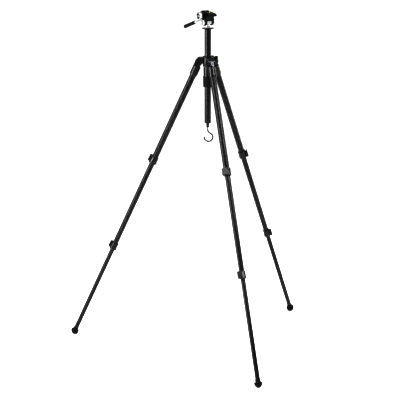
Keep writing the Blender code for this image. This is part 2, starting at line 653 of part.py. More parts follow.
def add_handle(handle, materials):
    """Pan handle, which screws into the tilt body and locks the tilt when it is turned."""
    bore = 0.0031
    rod("handle_rod", 0.0028, -0.0090, 0.1180, materials["steel"], handle)
    turned("handle_lock_nut", [
        (bore, 0.0012), (0.0050, 0.0012), (0.0055, 0.0018), (0.0055, 0.0070), (0.0050, 0.0076),
        (bore, 0.0076),
    ], materials["casting"], handle, ring=True, segments=12)
    turned("handle_ferrule", [
        (bore, 0.0770), (0.0036, 0.0770), (0.0048, 0.0810), (0.0056, 0.0830), (0.0056, 0.0897),
        (bore, 0.0897),
    ], materials["silver"], handle, ring=True, segments=20)
    end = HANDLE_LENGTH
    turned("handle_grip", [
        (bore, 0.0900), (0.0070, 0.0900), (0.0080, 0.0920), (0.0082, 0.1000), (0.0078, 0.1300),
        (0.0083, end - 0.0100), (0.0080, end - 0.0040), (0.0062, end - 0.0008), (0.0, end),
        (0.0, 0.1200), (bore, 0.1200),
    ], materials["rubber"], handle, ring=True, segments=20)


def add_head(frame, materials):
    place = Matrix.Translation((0.0, 0.0, TILT_HEIGHT)) @ Matrix.Rotation(TILT_AZIMUTH, 4, "Z")
    head = add_frame("tilt_axis", place, frame)
    along = Matrix.Rotation(-(math.pi / 2.0 + HANDLE_DROP), 4, "X")
    tilting = add_frame("tilting_parts", Matrix.Rotation(TILT_LEAN, 4, "X"), head)
    handle = add_frame("handle_axis", Matrix.Translation(HANDLE_START) @ along, tilting)
    add_pan_stage(frame, head, materials)
    add_tilt_body(tilting, handle, materials)
    add_tilt_knobs(head, materials)
    add_plate_clamp(tilting, materials)
    add_camera_plate(tilting, materials)
    add_handle(handle, materials)


# ---------------------------------------------------------------- the whole tripod

def make_materials():
    return {
        "carbon": make_material("carbon_tube", (0.050, 0.050, 0.055), 0.35),
        "casting": make_material("black_casting", (0.018, 0.018, 0.019), 0.45),
        "column": make_material("column_black", (0.020, 0.020, 0.021), 0.30, 0.4),
        "gloss": make_material("gloss_plastic", (0.015, 0.015, 0.016), 0.20),
        "plastic": make_material("black_plastic", (0.030, 0.029, 0.028), 0.50),
        "rubber": make_material("black_rubber", (0.022, 0.022, 0.022), 0.75),
        "silver": make_material("satin_silver", (0.72, 0.73, 0.74), 0.25, 1.0),
        "steel": make_material("steel", (0.55, 0.53, 0.50), 0.30, 1.0),
        "brass": make_material("brass", (0.60, 0.50, 0.33), 0.35, 1.0),
        "level": make_material("level_vial", (0.55, 0.60, 0.25), 0.15),
    }


def main():
    clear_scene()
    materials = make_materials()
    column_axis = add_hub(materials)
    for leg, azimuth in LEG_AZIMUTHS.items():
        add_leg(leg, azimuth, materials)
    add_column(column_axis, materials)
    add_hook(materials["steel"], column_axis)
    add_head(column_axis, materials)


main()
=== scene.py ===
import json
import math

import bmesh
import bpy
from mathutils import Matrix, Vector


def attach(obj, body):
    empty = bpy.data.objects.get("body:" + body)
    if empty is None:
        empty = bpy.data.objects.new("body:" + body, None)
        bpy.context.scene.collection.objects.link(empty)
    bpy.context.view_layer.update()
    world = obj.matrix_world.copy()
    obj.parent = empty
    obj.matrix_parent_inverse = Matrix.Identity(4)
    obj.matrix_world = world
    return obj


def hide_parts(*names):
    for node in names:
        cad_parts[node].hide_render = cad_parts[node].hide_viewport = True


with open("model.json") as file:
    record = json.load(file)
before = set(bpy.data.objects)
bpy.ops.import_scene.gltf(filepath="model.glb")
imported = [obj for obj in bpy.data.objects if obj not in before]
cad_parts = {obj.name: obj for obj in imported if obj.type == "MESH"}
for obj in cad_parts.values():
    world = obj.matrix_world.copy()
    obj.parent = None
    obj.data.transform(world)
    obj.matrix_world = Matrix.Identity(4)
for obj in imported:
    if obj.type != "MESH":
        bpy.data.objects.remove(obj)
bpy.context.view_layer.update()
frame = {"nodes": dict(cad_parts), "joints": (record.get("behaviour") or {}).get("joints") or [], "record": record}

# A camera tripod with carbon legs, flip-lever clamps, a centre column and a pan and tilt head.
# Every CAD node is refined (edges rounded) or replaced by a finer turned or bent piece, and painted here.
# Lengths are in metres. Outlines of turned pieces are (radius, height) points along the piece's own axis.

LEGS = ("front", "right", "left")
JOINTS = {joint["name"]: joint for joint in frame["joints"]}
BODY_OF = {node: body for body, nodes in frame["record"]["behaviour"]["bodies"].items() for node in nodes}
SLOT_OF = {part["node"]: part["material_slot"] for part in frame["record"]["subparts"]}

# camera: lens and sensor in mm, distance from the column, height, turn and drop of the view
CAMERA_LENS = 123.234
CAMERA_SENSOR = 36.0
CAMERA_CLIP_START = 0.05
CAMERA_AZIMUTH = math.radians(-109.7)
CAMERA_DISTANCE = 6.076
CAMERA_HEIGHT = 2.042
CAMERA_YAW = math.radians(-0.3274)
CAMERA_DROP = math.radians(12.6715)

# light: (name, azimuth in degrees, distance, height, (width, length), watts, colour)
SOFTBOXES = (
    ("rear_right_softbox", 10.0, 3.2, 1.8, (0.6, 3.4), 75.0, (1.0, 0.94, 0.85)),
    ("left_softbox", -172.0, 3.0, 1.8, (0.8, 3.4), 260.0, (1.0, 1.0, 1.0)),
    ("front_softbox", -58.0, 3.6, 3.5, (0.4, 1.8), 230.0, (0.91, 0.96, 1.0)),
)
SOFTBOX_TARGET_HEIGHT = 0.9
WORLD_STRENGTH = 1.50
WORLD_GREYS = ((0.44, 0.66), (0.80, 1.0))
VIEW_GAMMA = 0.62
FLOOR_RADIUS = 60.0
FLOOR_DROP = 0.0005

# mesh clean-up and edges
ON_AXIS = 1e-6
MERGE_DISTANCE = 0.000002
FLAT_ANGLE = math.radians(0.6)
BEVEL_ANGLE = math.radians(33.0)
BEVEL_SEGMENTS = 2

# sizes that several pieces share
TUBE_WALL = 0.0015
COLUMN_WALL = 0.0020
STUD_BORE = 0.0050
SHAFT_BORE = 0.0043
ROD_BORE = 0.0031

# weight hook: a bent wire in a plane that is turned about the column
HOOK_TURN = math.radians(-19.7)
HOOK_BEND_RADIUS = 0.0194
HOOK_BEND_OFFSET = 0.0036
HOOK_BEND_START = math.radians(60.0)
HOOK_BEND_END = math.radians(-188.0)
HOOK_SWAY_STEPS = 14
HOOK_BEND_STEPS = 48
HOOK_THICKENING = 1.3


# ---------------------------------------------------------------- places

def place_from(origin, x_axis, z_axis):
    """Frame with the given origin and axes."""
    x = Vector(x_axis).normalized()
    z = Vector(z_axis).normalized()
    y = z.cross(x)
    place = Matrix((x, y, z)).transposed().to_4x4()
    place.translation = origin
    return place


def leg_place(leg):
    """Frame at a leg's hinge: Z up along the leg, X outwards."""
    fold = JOINTS[f"{leg}_fold"]
    along = Vector(JOINTS[f"{leg}_middle_slide"]["axis"])
    return place_from(fold["pos_m"], Vector(fold["axis"]).cross(along), along)


PAN_POINT = Vector(JOINTS["pan"]["pos_m"])
COLUMN = Matrix.Translation((PAN_POINT.x, PAN_POINT.y, 0.0))
TILT = place_from(JOINTS["tilt"]["pos_m"], JOINTS["tilt"]["axis"], JOINTS["camera_screw_turn"]["axis"])
# turned head pieces are made along Z, so these frames have Z where the shaft is
TILT_SHAFT = place_from(JOINTS["tilt"]["pos_m"], TILT.col[2].xyz, TILT.col[0].xyz)
CLAMP_KNOB = place_from(JOINTS["clamp_knob_turn"]["pos_m"], TILT.col[2].xyz,
                        JOINTS["clamp_knob_turn"]["axis"])
CAMERA_SCREW = place_from(JOINTS["camera_screw_turn"]["pos_m"], TILT.col[0].xyz, TILT.col[2].xyz)
HANDLE = place_from(JOINTS["handle_twist"]["pos_m"], TILT.col[0].xyz, JOINTS["handle_twist"]["axis"])
BRAKE = place_from(JOINTS["brake_turn"]["pos_m"], (0.0, 0.0, 1.0), JOINTS["brake_turn"]["axis"])


def span(node, place):
    """(lowest, highest) corner of a CAD node in the given frame."""
    inverse = place.inverted()
    points = [inverse @ vertex.co for vertex in frame["nodes"][node].data.vertices]
    low = Vector([min(point[i] for point in points) for i in range(3)])
    high = Vector([max(point[i] for point in points) for i in range(3)])
    return low, high


# ---------------------------------------------------------------- shader helpers

class Graph:
    """A material's node tree, with short calls for the nodes used here."""

    def __init__(self, name):
        self.material = bpy.data.materials.new(name)
        self.material.use_nodes = True
        self.tree = self.material.node_tree
        self.shader = self.tree.nodes["Principled BSDF"]

    def node(self, kind, **settings):
        made = self.tree.nodes.new(kind)
        for key, value in settings.items():
            setattr(made, key, value)
        return made

    def link(self, source, target):
        self.tree.links.new(source, target)

    def maths(self, operation, first, second=None, third=None):
        made = self.node("ShaderNodeMath", operation=operation)
        for socket, value in zip(made.inputs, (first, second, third)):
            if value is None:
                continue
            if isinstance(value, (int, float)):
                socket.default_value = value
            else:
                self.link(value, socket)
        return made.outputs[0]

    def ramp(self, source, stops):
        """Colour ramp; stops are (position, grey or (r, g, b))."""
        made = self.node("ShaderNodeValToRGB")
        while len(made.color_ramp.elements) < len(stops):
            made.color_ramp.elements.new(0.5)
        for element, (position, colour) in zip(made.color_ramp.elements, stops):
            element.position = position
            rgb = (colour,) * 3 if isinstance(colour, float) else colour
            element.color = (*rgb, 1.0)
        self.link(source, made.inputs[0])
        return made.outputs[0]

    def noise(self, scale, detail=3.0, stretch=(1.0, 1.0, 1.0)):
        coordinates = self.node("ShaderNodeTexCoord").outputs["Object"]
        mapping = self.node("ShaderNodeMapping")
        mapping.inputs["Scale"].default_value = stretch
        self.link(coordinates, mapping.inputs["Vector"])
        made = self.node("ShaderNodeTexNoise")
        made.inputs["Scale"].default_value = scale
        made.inputs["Detail"].default_value = detail
        self.link(mapping.outputs[0], made.inputs["Vector"])
        return made.outputs[0]

    def spread(self, source, low, high):
        """Maps the middle of a pattern's range, 0.3 to 0.7, to low-high."""
        made = self.node("ShaderNodeMapRange")
        made.inputs["From Min"].default_value = 0.3
        made.inputs["From Max"].default_value = 0.7
        made.inputs["To Min"].default_value = low
        made.inputs["To Max"].default_value = high
        self.link(source, made.inputs["Value"])
        return made.outputs[0]

    def bump(self, height, distance, strength=1.0):
        made = self.node("ShaderNodeBump")
        made.inputs["Strength"].default_value = strength
        made.inputs["Distance"].default_value = distance
        self.link(height, made.inputs["Height"])
        self.link(made.outputs[0], self.shader.inputs["Normal"])


def surface(name, dark, light, rough, metallic=0.0, coat=0.0, mottle=18.0, grain=900.0, depth=0.00004,
            stretch=(1.0, 1.0, 1.0), specular=0.5):
    """General surface: slow colour mottling, uneven gloss and a fine grain."""
    graph = Graph(name)
    patches = graph.noise(mottle, 4.0)
    graph.link(graph.ramp(patches, ((0.3, dark), (0.7, light))), graph.shader.inputs["Base Color"])
    fine = graph.noise(grain, 2.0, stretch)
    mixed = graph.maths("ADD", graph.maths("MULTIPLY", patches, 0.5), graph.maths("MULTIPLY", fine, 0.5))
    graph.link(graph.spread(mixed, *rough), graph.shader.inputs["Roughness"])
    graph.shader.inputs["Metallic"].default_value = metallic
    graph.shader.inputs["Specular IOR Level"].default_value = specular
    graph.shader.inputs["Coat Weight"].default_value = coat
    graph.shader.inputs["Coat Roughness"].default_value = 0.08
    graph.bump(fine, depth)
    return graph.material


def helix(graph, turn, height, starts, advance):
    """Sine bands wound round a tube: their number, and how far in radians they turn in a metre."""
    around = graph.maths("MULTIPLY", turn, starts)
    along = graph.maths("MULTIPLY", height, advance)
    return graph.maths("SINE", graph.maths("ADD", around, along))


def carbon_weave():
    """Spirally wound carbon tows under lacquer; made in the tube's own frame, with Z along it."""
    graph = Graph("carbon_weave")
    coordinates = graph.node("ShaderNodeTexCoord").outputs["Object"]
    axes = graph.node("ShaderNodeSeparateXYZ")
    graph.link(coordinates, axes.inputs[0])
    turn = graph.maths("ARCTAN2", axes.outputs[1], axes.outputs[0])
    weave = graph.noise(260.0, 3.0, (1.0, 1.0, 0.02))
    for starts, advance, share in ((3.0, 150.0, 0.12), (5.0, -210.0, 0.06), (36.0, 1800.0, 0.05)):
        bands = helix(graph, turn, axes.outputs[2], starts, advance)
        weave = graph.maths("ADD", weave, graph.maths("MULTIPLY", bands, share))
    tone = graph.ramp(weave, ((0.25, (0.0005, 0.0005, 0.0005)), (0.48, (0.0012, 0.0012, 0.0015)),
                              (0.72, (0.014, 0.0145, 0.017))))
    graph.link(tone, graph.shader.inputs["Base Color"])
    graph.link(graph.spread(weave, 0.42, 0.24), graph.shader.inputs["Roughness"])
    graph.shader.inputs["Specular IOR Level"].default_value = 0.20
    graph.shader.inputs["Coat Weight"].default_value = 0.05
    graph.shader.inputs["Coat Roughness"].default_value = 0.12
    graph.bump(weave, 0.00005)
    return graph.material


def glass(name, colour, roughness=0.02):
    graph = Graph(name)
    waves = graph.noise(300.0, 1.0)
    graph.link(graph.ramp(waves, ((0.2, colour), (0.8, tuple(0.94 * c for c in colour)))),
               graph.shader.inputs["Base Color"])
    graph.shader.inputs["Roughness"].default_value = roughness
    graph.shader.inputs["Transmission Weight"].default_value = 0.85
    graph.shader.inputs["IOR"].default_value = 1.47
    graph.bump(waves, 0.00001)
    return graph.material


def make_materials():
    along = (1.0, 1.0, 0.1)
    return {
        "carbon": carbon_weave(),
        "casting": surface("black_casting", 0.0010, 0.0030, (0.17, 0.29), grain=1400.0, specular=0.30),
        "lever_gloss": surface("lever_nylon", 0.0010, 0.0030, (0.20, 0.32), depth=0.00002, specular=0.26),
        "rubber": surface("black_rubber", 0.0010, 0.0025, (0.45, 0.65), grain=1800.0, depth=0.00008,
                          specular=0.14),
        "steel": surface("zinc_steel", (0.20, 0.19, 0.165), (0.32, 0.305, 0.27), (0.24, 0.36),
                         metallic=1.0, stretch=along),
        "stop_steel": surface("stop_steel", (0.12, 0.125, 0.135), (0.22, 0.225, 0.24), (0.26, 0.40),
                              metallic=1.0, stretch=along),
        "dark_steel": surface("blackened_steel", 0.012, 0.026, (0.24, 0.36), metallic=1.0, stretch=along),
        "satin_silver": surface("satin_silver", (0.34, 0.345, 0.35), (0.44, 0.445, 0.45), (0.26, 0.40),
                                metallic=1.0, stretch=along),
        "column_black": surface("column_anodised", 0.0010, 0.0025, (0.16, 0.26), grain=1500.0,
                                depth=0.00001, stretch=(1.0, 1.0, 0.05), specular=0.3),
        "black_alloy": surface("black_alloy", 0.0010, 0.0030, (0.22, 0.36), grain=1600.0, specular=0.22),
        "black_plastic": surface("black_plastic", 0.0030, 0.0070, (0.36, 0.52), grain=1500.0,
                                 specular=0.2),
        "level_vial": surface("level_ring", 0.010, 0.020, (0.25, 0.40)),
        "brass": surface("turned_brass", (0.34, 0.29, 0.20), (0.48, 0.41, 0.30), (0.24, 0.38),
                         metallic=1.0),
        "liquid": surface("level_liquid", (0.42, 0.55, 0.10), (0.55, 0.68, 0.18), (0.05, 0.12), coat=0.5),
        "glass": glass("level_glass", (0.94, 0.98, 0.93)),
    }


# ---------------------------------------------------------------- mesh helpers

def finish_piece(name, bm, material, body, place=None, nodes=(), angle=32.0):
    """Turns a bmesh, made in the given frame, into a piece that rides on a body."""
    bmesh.ops.recalc_face_normals(bm, faces=bm.faces)
    mesh = bpy.data.meshes.new(name)
    bm.to_mesh(mesh)
    bm.free()
    mesh.shade_smooth()
    mesh.set_sharp_from_angle(angle=math.radians(angle))
    mesh.materials.append(MATERIALS[material])
    piece = bpy.data.objects.new(name, mesh)
    bpy.context.scene.collection.objects.link(piece)
    if place is not None:
        piece.matrix_world = place
    if nodes:
        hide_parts(*nodes)
    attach(piece, body)
    return piece


def refined(node, width=0.0005, material=None):
    """The CAD node with its flat faces made whole, its edges rounded and its curves shaded smooth."""
    bm = bmesh.new()
    bm.from_mesh(frame["nodes"][node].data)
    bmesh.ops.remove_doubles(bm, verts=bm.verts, dist=MERGE_DISTANCE)
    bmesh.ops.dissolve_limit(bm, angle_limit=FLAT_ANGLE, verts=bm.verts, edges=bm.edges)
    slot = SLOT_OF[node]
    piece = finish_piece(f"{node}_fine", bm, material or slot, BODY_OF[node], nodes=(node,))
    edges = piece.modifiers.new("edges", "BEVEL")
    edges.width = width
    edges.segments = BEVEL_SEGMENTS
    edges.limit_method = "ANGLE"
    edges.angle_limit = BEVEL_ANGLE
    edges.use_clamp_overlap = True
    edges.harden_normals = True
    return piece


def rounded(outline, radius, steps=3, closed=False):
    """Rounds the corners of a (radius, height) outline; points on the axis and open ends stay."""
    made = []
    count = len(outline)
    for i, point in enumerate(outline):
        here = Vector(point[:2])
        shape = point[2:]
        ends = not closed and i in (0, count - 1)
        if ends or here.x < ON_AXIS:
            made.append((here.x, here.y, *shape))
            continue
        before = Vector(outline[i - 1][:2]) - here
        after = Vector(outline[(i + 1) % count][:2]) - here
        back = before.normalized() * min(radius, before.length * 0.45)
        on = after.normalized() * min(radius, after.length * 0.45)
        for step in range(steps + 1):
            t = step / steps
            curved = here + back * (1 - t) ** 2 + on * t ** 2
            made.append((curved.x, curved.y, *shape))
    return made


def flute(angle, count, depth):
    """How far a fluted surface is cut in at an angle."""
    return depth * (0.5 - 0.5 * math.cos(count * angle)) ** 2


def hexagon(angle):
    """How far a hexagon with unit inner radius reaches at an angle."""
    sector = math.pi / 3.0
    return 1.0 / math.cos((angle % sector) - sector / 2.0)


def turned_loop(bm, point, segments, flutes, depth):
    """One outline point taken round the axis; a point on the axis stays single."""
    radius, height = point[:2]
    mark = point[2] if len(point) > 2 else None
    if radius < ON_AXIS:
        return [bm.verts.new((0.0, 0.0, height))]
    loop = []
    for i in range(segments):
        turn = 2.0 * math.pi * i / segments
        reach = radius
        if mark == "flute":
            reach -= flute(turn, flutes, depth)
        if mark == "hex":
            reach *= hexagon(turn)
        loop.append(bm.verts.new((reach * math.cos(turn), reach * math.sin(turn), height)))
    return loop


def join_loops(bm, first, second, segments):
    """Faces between two neighbouring loops, which are triangles where one is a single point."""
    for i in range(segments):
        j = (i + 1) % segments
        corners = []
        for vertex in (first[i % len(first)], first[j % len(first)],
                       second[j % len(second)], second[i % len(second)]):
            if vertex not in corners:
                corners.append(vertex)
        if len(corners) > 2:
            bm.faces.new(corners)


def turned(name, outline, place, material, body, slot, nodes=(), segments=64, ring=False, flutes=0,
           depth=0.0, angle=32.0):
    """Revolves (radius, height) points about Z. A third value marks a point: "flute" or "hex"."""
    bm = bmesh.new()
    loops = [turned_loop(bm, point, segments, flutes, depth) for point in outline]
    pairs = list(zip(loops, loops[1:]))
    if ring:
        pairs.append((loops[-1], loops[0]))
    for first, second in pairs:
        join_loops(bm, first, second, segments)
    return finish_piece(name, bm, material, body, place, nodes, angle)


def turned_for(node, outline, place, radius=0.0006, closed=False, material=None, **shape):
    """A turned piece that stands for a CAD node and takes its body and slot."""
    slot = SLOT_OF[node]
    return turned(f"{node}_fine", rounded(outline, radius, closed=closed), place, material or slot,
                  BODY_OF[node], slot, nodes=(node,), ring=closed, **shape)


# ---------------------------------------------------------------- legs

def add_tube(node, place):
    low, high = span(node, place)
    outer = high.x
    inner = outer - TUBE_WALL
    turned_for(node, [(outer, high.z), (inner, high.z), (inner, low.z), (outer, low.z)],
               place, radius=0.0003, closed=True, segments=72)


def add_hinge_bolt(leg, place):
    """Pan-headed pivot bolt with a hexagon socket, along the hinge."""
    node = f"{leg}_hinge_bolt"
    hinge = place @ Matrix.Rotation(-math.pi / 2.0, 4, "X")
    low, high = span(node, hinge)
    head = 0.0052
    shank = 0.0030
    thick = 0.0025
    socket = 0.0022
    socket_floor = high.z - 0.0017
    turned_for(node, [
        (0.0, low.z), (head - 0.0006, low.z), (head, low.z + thick), (shank, low.z + thick),
        (shank, high.z - thick), (head, high.z - thick), (head - 0.0004, high.z),
        (socket, high.z, "hex"), (socket, socket_floor, "hex"), (0.0, socket_floor),
    ], hinge, radius=0.0005, segments=48, material="dark_steel")


def add_foot(leg, place):
    """Rubber foot with tread rings; it is pressed flat where it stands."""
    node = f"{leg}_foot"
    high = span(node, place)[1]
    radius = high.x
    top = high.z
    centre = top - 0.0180
    neck = 0.0107
    floor = centre + 0.0037
    outline = [(neck, top), (0.0117, top), (0.0121, centre + 0.0052), (0.0165, centre + 0.0046),
               (radius - 0.0004, centre + 0.0040), (radius, centre + 0.0020)]
    outline += foot_treads(radius, centre)
    outline += [(0.0, centre - radius), (0.0, floor), (neck, floor)]
    foot = turned_for(node, outline, place, radius=0.0004, closed=True, segments=64)
    press_flat(foot)


def foot_treads(radius, centre):
    """Four shallow grooves round the foot's ball, and the smooth ball below them."""
    groove = 0.0007
    points = []
    for ring in range(4):
        for step, depth in ((0.0, 0.0), (2.0, groove), (6.0, groove), (8.0, 0.0)):
            points.append((math.radians(8.0 + 17.0 * ring) + math.radians(step), radius - depth))
    points.append((math.radians(78.0), radius))
    return [(reach * math.cos(angle), centre - reach * math.sin(angle)) for angle, reach in points]


def press_flat(foot):
    """Moves what is below the ground up to it."""
    upright = foot.matrix_world
    flat = upright.inverted()
    for vertex in foot.data.vertices:
        spot = upright @ vertex.co
        if spot.z < 0.0:
            vertex.co = flat @ Vector((spot.x, spot.y, 0.0))


def add_leg(leg):
    place = leg_place(leg)
    for part in ("upper", "middle", "lower"):
        add_tube(f"{leg}_{part}_tube", place)
    for part in ("upper", "lower"):
        refined(f"{leg}_{part}_clamp", 0.0007)
        refined(f"{leg}_{part}_lever", 0.0015)
    refined(f"{leg}_leg_bracket", 0.0007)
    refined(f"{leg}_angle_stop", 0.0005, "stop_steel")
    add_hinge_bolt(leg, place)
    add_foot(leg, place)


# ---------------------------------------------------------------- hub

def add_hub():
    refined("hub", 0.0012)
    refined("guide_bush", 0.0003)
    add_lock_collar()
    add_brake_knob()
    add_spirit_level()


def add_lock_collar():
    """Rubber-covered twist collar with shallow grip flutes."""
    low, high = span("column_lock_collar", COLUMN)
    bore = 0.0174
    lower_bore = 0.0151
    lip = high.x
    outline = [
        (bore, high.z), (lip - 0.0006, high.z), (lip, high.z - 0.0012), (lip, high.z - 0.0050),
        (lip - 0.0008, high.z - 0.0062), (lip - 0.0006, high.z - 0.0078, "flute"),
        (lip - 0.0012, low.z + 0.0060, "flute"), (lip - 0.0014, low.z + 0.0044),
        (lip - 0.0020, low.z), (lower_bore, low.z), (lower_bore, low.z + 0.0020), (bore, low.z + 0.0022),
    ]
    turned_for("column_lock_collar", outline, COLUMN, radius=0.0004, closed=True, segments=144, flutes=24,
               depth=0.0007)


def add_brake_knob():
    low, high = span("column_brake_knob", BRAKE)
    length = 0.0145
    face = high.z - length
    radius = 0.0110
    turned_for("column_brake_knob", [
        (0.0, low.z), (0.0030, low.z), (0.0030, face), (0.0085, face), (0.0100, face + 0.0018),
        (radius, face + 0.0034, "flute"), (radius, face + 0.0125, "flute"), (0.0098, face + 0.0138),
        (0.0050, face + 0.0142), (0.0046, face + 0.0132), (0.0, face + 0.0130),
    ], BRAKE, radius=0.0006, segments=120, flutes=12, depth=0.0016)


def add_spirit_level():
    """Bubble level: black ring, green liquid, a bubble and a domed glass."""
    low, high = span("spirit_level", COLUMN)
    centre = (low + high) / 2.0
    place = COLUMN @ Matrix.Translation((centre.x, centre.y, low.z))
    turned_for("spirit_level", [
        (0.0, 0.0), (0.0068, 0.0), (0.0068, 0.0032), (0.0062, 0.0040), (0.0052, 0.0038), (0.0050, 0.0012),
        (0.0, 0.0012),
    ], place, radius=0.0003, segments=48)
    turned("level_liquid", rounded([(0.0, 0.00125), (0.0049, 0.00125), (0.0049, 0.0030), (0.0026, 0.0037),
                                    (0.0, 0.0039)], 0.0004), place, "liquid", "hub", "level_vial",
           segments=40)
    turned("level_bubble", rounded([(0.0, 0.0040), (0.0010, 0.0041), (0.0014, 0.0042), (0.0009, 0.0043),
                                    (0.0, 0.0044)], 0.0003), place, "glass", "hub", "level_vial",
           segments=32)
    turned("level_glass", rounded([(0.0, 0.0045), (0.0030, 0.0043), (0.0049, 0.0036), (0.0049, 0.0040),
                                   (0.0030, 0.0047), (0.0, 0.0050)], 0.0003), place, "glass", "hub",
           "level_vial", segments=40)


# ---------------------------------------------------------------- column and hook

def add_column():
    low, high = span("column_tube", COLUMN)
    outer = high.x
    inner = outer - COLUMN_WALL
    turned_for("column_tube", [(outer, high.z), (inner, high.z), (inner, low.z), (outer, low.z)],
               COLUMN, radius=0.0004, closed=True, segments=96)
    add_top_plate()
    refined("head_stud", 0.0004)
    add_end_cap()
    add_hook()


def add_top_plate():
    low, high = span("column_top_plate", COLUMN)
    rim = high.x
    plug = 0.0125
    shoulder = high.z - 0.0075
    turned_for("column_top_plate", [
        (STUD_BORE, low.z), (plug, low.z), (plug, shoulder), (0.0150, shoulder), (0.0165, shoulder + 0.0014),
        (rim - 0.0007, shoulder + 0.0036), (rim, shoulder + 0.0044, "flute"), (rim, high.z - 0.0006, "flute"),
        (rim - 0.0006, high.z), (0.0215, high.z), (0.0210, high.z - 0.0006), (0.0145, high.z - 0.0006),
        (0.0140, high.z), (STUD_BORE, high.z),
    ], COLUMN, radius=0.0003, closed=True, segments=240, flutes=60, depth=0.0003)


def add_end_cap():
    low, high = span("column_end_cap", COLUMN)
    rim = high.x
    joint = high.z - 0.016
    turned_for("column_end_cap", [
        (0.0, joint - 0.0020), (0.0028, joint - 0.0020), (0.0028, low.z), (0.0058, low.z),
        (0.0065, low.z + 0.0008), (0.0065, joint - 0.0060), (0.0135, joint - 0.0050),
        (rim, joint - 0.0038), (rim, joint), (0.0125, joint), (0.0125, high.z), (0.0, high.z),
    ], COLUMN, radius=0.0006, segments=72)


def add_hook():
    """Bent wire hook with a smooth centre line and a rounded tip."""
    plane = Matrix.Translation((PAN_POINT.x, PAN_POINT.y, 0.0)) @ Matrix.Rotation(HOOK_TURN, 4, "Z")
    low, high = span("weight_hook", plane)
    wire = (high.y - low.y) / 2.0
    route = hook_route(low.z, high.z, wire)
    curve = bpy.data.curves.new("weight_hook_fine", "CURVE")
    curve.dimensions = "3D"
    curve.bevel_depth = wire
    curve.bevel_resolution = 6
    curve.use_fill_caps = True
    spline = curve.splines.new("POLY")
    spline.points.add(len(route) - 1)
    for i, point in enumerate(route):
        spline.points[i].co = (point.x, 0.0, point.y, 1.0)
        spline.points[i].radius = wire_scale(i, len(route) - 1)
    curve.materials.append(MATERIALS["dark_steel"])
    hook = bpy.data.objects.new("weight_hook_fine", curve)
    bpy.context.scene.collection.objects.link(hook)
    hook.matrix_world = plane
    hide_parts("weight_hook")
    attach(hook, "hook")


def hook_route(bottom, top, wire):
    """Centre line of the hook as (sideways, height) points: a stem, a sway and a round bend."""
    centre = Vector((HOOK_BEND_OFFSET, bottom + wire + HOOK_BEND_RADIUS))
    first = centre + on_circle(HOOK_BEND_START) * HOOK_BEND_RADIUS
    heading = Vector((math.sin(HOOK_BEND_START), -math.cos(HOOK_BEND_START)))
    stem = Vector((0.0, centre.y + 0.035))
    controls = (stem, stem + Vector((0.0, -0.010)), first - heading * 0.008, first)
    route = [Vector((0.0, top - wire)), Vector((0.0, JOINTS["hook_swivel"]["pos_m"][2]))]
    for i in range(HOOK_SWAY_STEPS):
        route.append(cubic(controls, i / HOOK_SWAY_STEPS))
    for i in range(HOOK_BEND_STEPS + 1):
        turn = HOOK_BEND_START + (HOOK_BEND_END - HOOK_BEND_START) * i / HOOK_BEND_STEPS
        route.append(centre + on_circle(turn) * HOOK_BEND_RADIUS)
    return route


def on_circle(angle):
    return Vector((math.cos(angle), math.sin(angle)))


def cubic(controls, t):
    """Point on the cubic curve of four control points."""
    weights = ((1 - t) ** 3, 3 * t * (1 - t) ** 2, 3 * t * t * (1 - t), t ** 3)
    point = Vector((0.0, 0.0))
    for weight, control in zip(weights, controls):
        point += control * weight
    return point


def wire_scale(i, tip):
    """The wire's thickness at a route point: plain in the end cap, thicker below it, rounded at the tip."""
    thickness = 1.0 if i < 3 else HOOK_THICKENING
    if i == tip:
        return thickness * 0.55
    if i == tip - 1:
        return thickness * 0.9
    return thickness


# ---------------------------------------------------------------- head

def add_head():
    for node in ("pan_body", "tilt_body", "plate_seat", "clamp_jaw", "quick_release_plate"):
        refined(node, 0.0006)
    refined("tilt_shaft", 0.0005)
    refined("plate_pad", 0.0003)
    add_pan_base()
    add_tilt_knob()
    add_shaft_cap()
    add_clamp_knob()
    add_camera_screw()
    add_handle()


def add_pan_base():
    low, high = span("pan_base", COLUMN)
    rim = high.x
    turned_for("pan_base", [
        (STUD_BORE, low.z), (rim - 0.0005, low.z), (rim, low.z + 0.0005), (rim, low.z + 0.0018),
        (rim - 0.0007, low.z + 0.0021), (rim - 0.0007, low.z + 0.0026), (rim, low.z + 0.0029),
        (rim, low.z + 0.0042), (rim - 0.0005, low.z + 0.0047), (0.0080, low.z + 0.0047), (0.0080, high.z),
        (STUD_BORE, high.z),
    ], COLUMN, radius=0.0003, closed=True, segments=80)


def add_tilt_knob():
    """Silver tilt lock knob on the shaft's left end, with a fluted rim and a sunk face."""
    low, high = span("tilt_knob", TILT_SHAFT)
    radius = 0.0140
    turned_for("tilt_knob", [
        (0.0, low.z + 0.0006), (0.0060, low.z + 0.0006), (0.0066, low.z), (0.0125, low.z),
        (radius, low.z + 0.0012, "flute"), (radius, high.z - 0.0009, "flute"), (0.0132, high.z),
        (SHAFT_BORE, high.z), (SHAFT_BORE, low.z + 0.0026), (0.0, low.z + 0.0026),
    ], TILT_SHAFT, radius=0.0004, segments=192, flutes=32, depth=0.0006)


def add_shaft_cap():
    low, high = span("tilt_shaft_cap", TILT_SHAFT)
    turned_for("tilt_shaft_cap", [
        (0.0, high.z - 0.0004), (0.0050, high.z - 0.0004), (0.0055, high.z), (0.0088, high.z),
        (0.0100, high.z - 0.0012), (0.0100, low.z), (SHAFT_BORE, low.z), (SHAFT_BORE, high.z - 0.0015),
        (0.0, high.z - 0.0015),
    ], TILT_SHAFT, radius=0.0004, segments=64)


